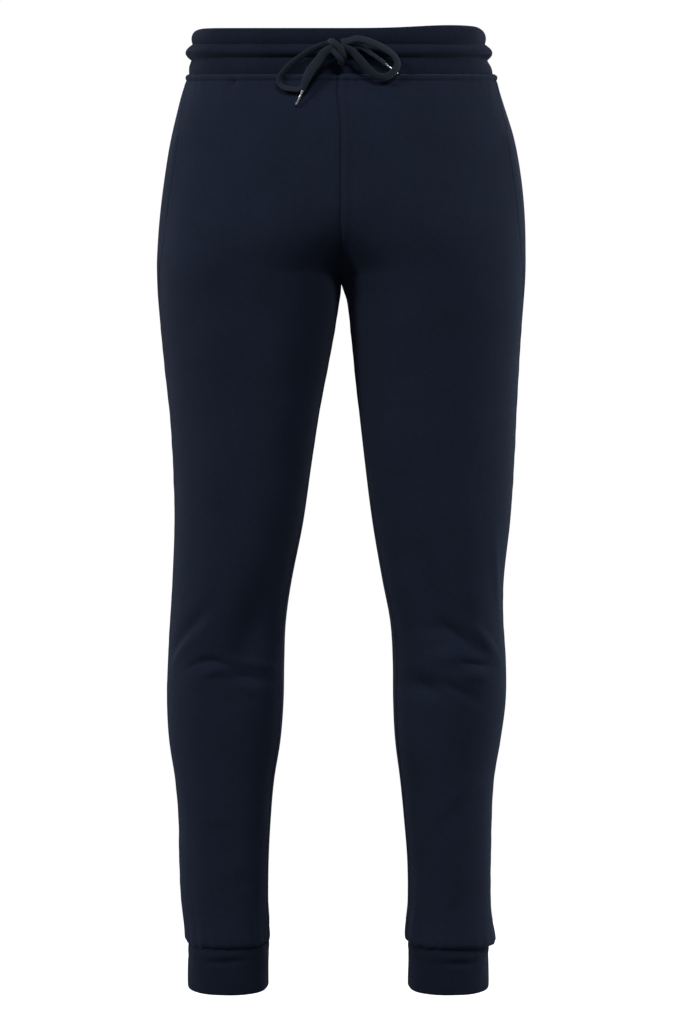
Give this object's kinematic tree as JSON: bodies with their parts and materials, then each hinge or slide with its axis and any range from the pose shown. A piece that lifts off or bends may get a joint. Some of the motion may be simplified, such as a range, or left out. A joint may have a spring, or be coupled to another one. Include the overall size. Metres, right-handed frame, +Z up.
{
  "type": "jogger sweatpants",
  "caption": "Tapered jogger sweatpants with a ribbed drawcord waistband tied in a bow, side-seam pockets and ribbed ankle cuffs, filled out as worn.",
  "frame": {"origin": "centre of the waistband, midway up its height, where the wearer's waist holds it", "axes": "+Z up the body, -Y towards the front, +X towards the wearer's left"},
  "size_m": [0.3839, 0.2553, 1.0227],
  "materials": {
    "fleece": "soft brushed cotton fleece, fine knit face, navy",
    "rib": "rib knit, matt, navy",
    "cord": "flat braided cotton cord, navy",
    "tip": "polished metal"
  },
  "bodies": {
    "root": {"front_left": "fleece", "front_right": "fleece", "back_left": "fleece", "back_right": "fleece", "pocket_hem_left": "fleece", "pocket_hem_right": "fleece", "waistband": "rib", "cuff_left": "rib", "cuff_right": "rib", "drawcord_knot": "cord", "drawcord_loop_left": "cord", "drawcord_loop_right": "cord", "drawcord_end_left": "cord", "drawcord_end_right": "cord", "cord_tip_left": "tip", "cord_tip_right": "tip"}
  },
  "joints": []
}
